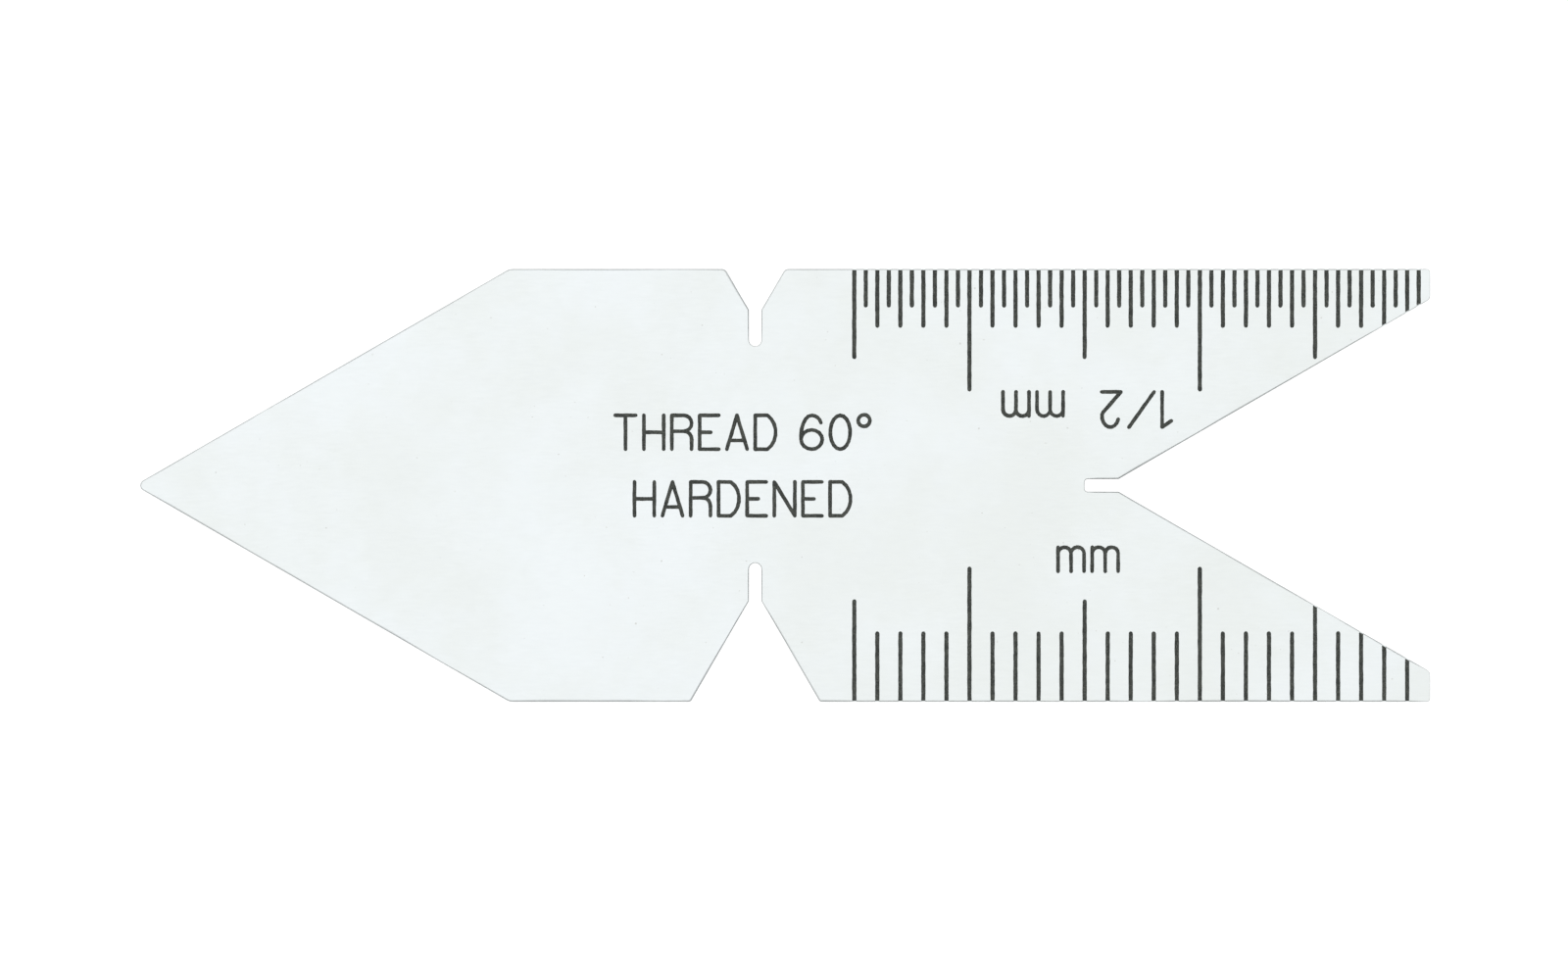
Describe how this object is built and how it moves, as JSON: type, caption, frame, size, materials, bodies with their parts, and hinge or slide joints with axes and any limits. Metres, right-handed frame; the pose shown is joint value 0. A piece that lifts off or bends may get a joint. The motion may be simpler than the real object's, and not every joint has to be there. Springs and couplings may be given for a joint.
{
  "type": "centre gauge",
  "caption": "Flat hardened steel centre gauge for cutting sixty-degree screw threads, with a pointed end, a fishtail end, notched long edges and etched millimetre scales filled with black.",
  "frame": {"origin": "centre of the plate's outline box, on its lower face, which rests on the surface", "axes": "+X along the gauge from its point towards its fishtail end, +Y towards the half-millimetre scale's long edge, +Z out of the etched upper face"},
  "size_m": [0.056, 0.0188, 0.001],
  "materials": {
    "tempered_steel": "satin ground",
    "black_enamel": "matte"
  },
  "bodies": {
    "root": {"gauge_plate": "tempered_steel", "fraction_label_1_1": "black_enamel", "fraction_label_2_slash": "black_enamel", "fraction_label_3_2": "black_enamel", "half_mm_label_1_m": "black_enamel", "half_mm_label_2_m": "black_enamel", "lower_line_1_H": "black_enamel", "lower_line_2_A": "black_enamel", "lower_line_3_R": "black_enamel", "lower_line_4_D": "black_enamel", "lower_line_5_E": "black_enamel", "lower_line_6_N": "black_enamel", "lower_line_7_E": "black_enamel", "lower_line_8_D": "black_enamel", "mm_label_1_m": "black_enamel", "mm_label_2_m": "black_enamel", "mm_mark_01": "black_enamel", "mm_mark_02": "black_enamel", "mm_mark_03": "black_enamel", "mm_mark_04": "black_enamel", "mm_mark_05": "black_enamel", "mm_mark_06": "black_enamel", "mm_mark_07": "black_enamel", "mm_mark_08": "black_enamel", "mm_mark_09": "black_enamel", "mm_mark_10": "black_enamel", "mm_mark_11": "black_enamel", "mm_mark_12": "black_enamel", "mm_mark_13": "black_enamel", "mm_mark_14": "black_enamel", "mm_mark_15": "black_enamel", "mm_mark_16": "black_enamel", "mm_mark_17": "black_enamel", "mm_mark_18": "black_enamel", "mm_mark_19": "black_enamel", "mm_mark_20": "black_enamel", "mm_mark_21": "black_enamel", "mm_mark_22": "black_enamel", "mm_mark_23": "black_enamel", "mm_mark_24": "black_enamel", "mm_mark_25": "black_enamel", "upper_line_1_T": "black_enamel", "upper_line_2_H": "black_enamel", "upper_line_3_R": "black_enamel", "upper_line_4_E": "black_enamel", "upper_line_5_A": "black_enamel", "upper_line_6_D": "black_enamel", "upper_line_7_6": "black_enamel", "upper_line_8_0": "black_enamel", "upper_line_9_degree": "black_enamel"}
  },
  "joints": []
}
